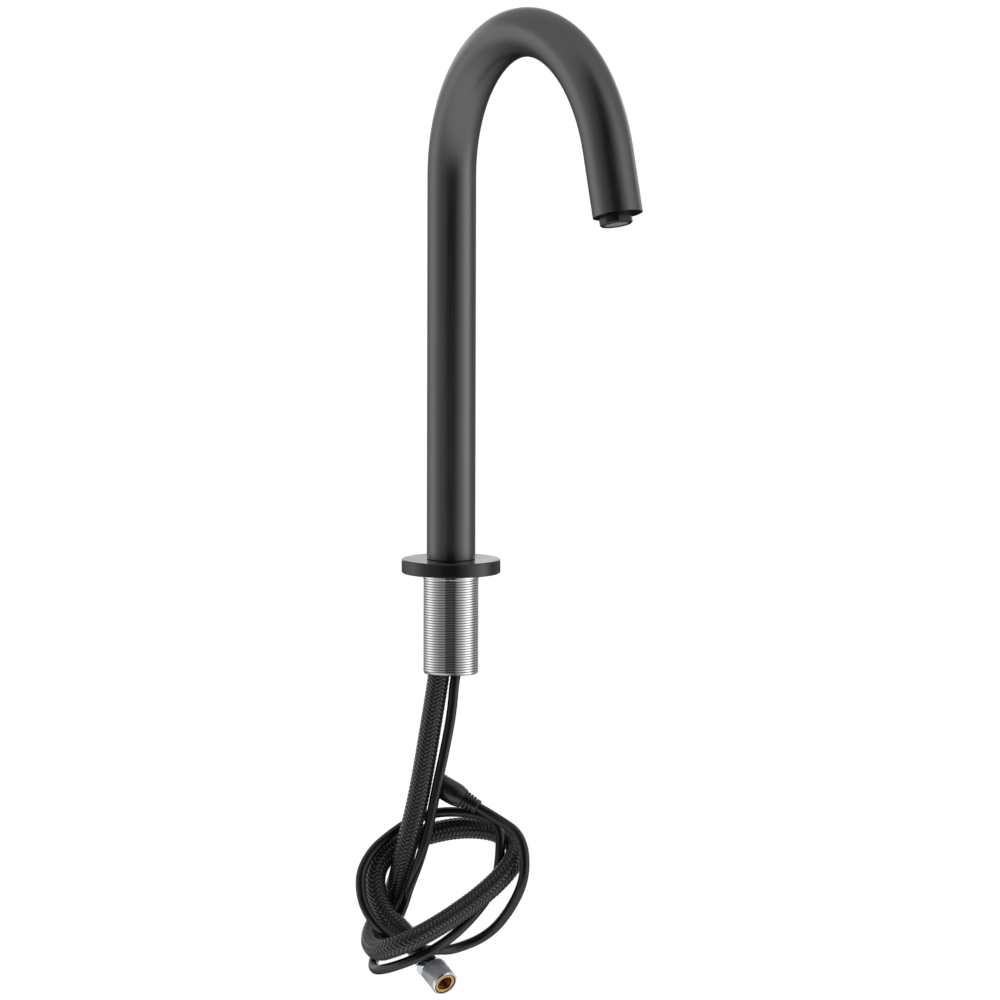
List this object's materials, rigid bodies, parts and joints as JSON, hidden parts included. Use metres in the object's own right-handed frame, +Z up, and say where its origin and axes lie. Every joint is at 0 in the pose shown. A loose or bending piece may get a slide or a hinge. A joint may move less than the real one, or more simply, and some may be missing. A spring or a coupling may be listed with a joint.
{
  "type": "deck-mounted sensor gooseneck faucet",
  "caption": "Tall black gooseneck faucet tube on a round base flange, threaded deck shank, aerator tip, braided supply hose with swivel nut and a sensor cable with plug.",
  "frame": {"origin": "centre of the base flange's underside, on the deck", "axes": "+Z up along the riser, the spout reaches along -Y, X across"},
  "size_m": [0.0912, 0.2349, 0.5709],
  "materials": {
    "brushed_black": "fine brushed black coating, satin",
    "thread_steel": "bright turned stainless steel",
    "brass": "machined brass",
    "ferrule_steel": "crimped stainless steel",
    "chrome": "polished chrome, fine knurl",
    "black_rubber": "black rubber",
    "clear_line": "milky flexible tubing",
    "cable_jacket": "smooth black cable jacket",
    "black_plastic": "moulded black plastic",
    "window_plastic": "dark infrared-passing plastic, glossy",
    "diode_plastic": "tinted epoxy",
    "board_laminate": "green laminate",
    "hose_braid": "black nylon braid",
    "plug_moulding": "moulded black plastic, satin",
    "aerator_black": "black plastic, satin",
    "cartridge_plastic": "white moulded plastic",
    "screen_steel": "fine woven stainless mesh"
  },
  "bodies": {
    "faucet": {"spout_tube": "brushed_black", "base_flange": "brushed_black", "foot_seal": "black_rubber", "threaded_shank": "thread_steel", "foot_insert": "brass", "hose_inlet_nipple": "brass", "inlet_ferrule": "ferrule_steel", "lead_strain_relief": "black_rubber", "water_line": "clear_line", "line_nipple_lower": "brass", "line_clip_lower": "ferrule_steel", "line_nipple_upper": "brass", "line_clip_upper": "ferrule_steel", "sensor_lead": "cable_jacket", "outlet_block": "black_plastic", "sensor_window": "window_plastic", "ir_emitter": "diode_plastic", "ir_receiver": "diode_plastic", "sensor_board": "board_laminate", "sensor_module": "black_plastic", "supply_hose": "hose_braid", "hose_ferrule": "ferrule_steel", "hose_tailpiece": "brass", "hose_washer": "black_rubber", "sensor_cable": "cable_jacket", "plug_strain_relief": "plug_moulding", "plug_body": "plug_moulding", "plug_collar": "plug_moulding", "plug_insulator": "black_plastic", "plug_contacts": "brass"},
    "aerator_seat": {"aerator_washer": "black_rubber"},
    "aerator": {"aerator_housing": "aerator_black", "aerator_cartridge": "cartridge_plastic", "aerator_screen": "screen_steel"},
    "hose_swivel": {"hose_nut": "chrome", "nut_insert": "brass"}
  },
  "joints": [
    {"name": "aerator_advance", "type": "slide", "parent": "faucet", "child": "aerator_seat", "axis": [0, -0.284, -0.9588], "range_m": [0, 0.004]},
    {"name": "aerator_turn", "type": "hinge", "parent": "aerator_seat", "child": "aerator", "pos_m": [0, -0.17637, 0.21687], "axis": [0, -0.284, -0.9588], "range_deg": [0, 1440]},
    {"name": "nut_swivel", "type": "hinge", "parent": "faucet", "child": "hose_swivel", "pos_m": [-0.0175, -0.024, -0.2355], "axis": [0.0458, -0.8734, -0.4848], "continuous": true}
  ],
  "couplings": [
    {"joint": "aerator_turn", "follows": "aerator_advance", "rad_per_m": 6283.2}
  ]
}
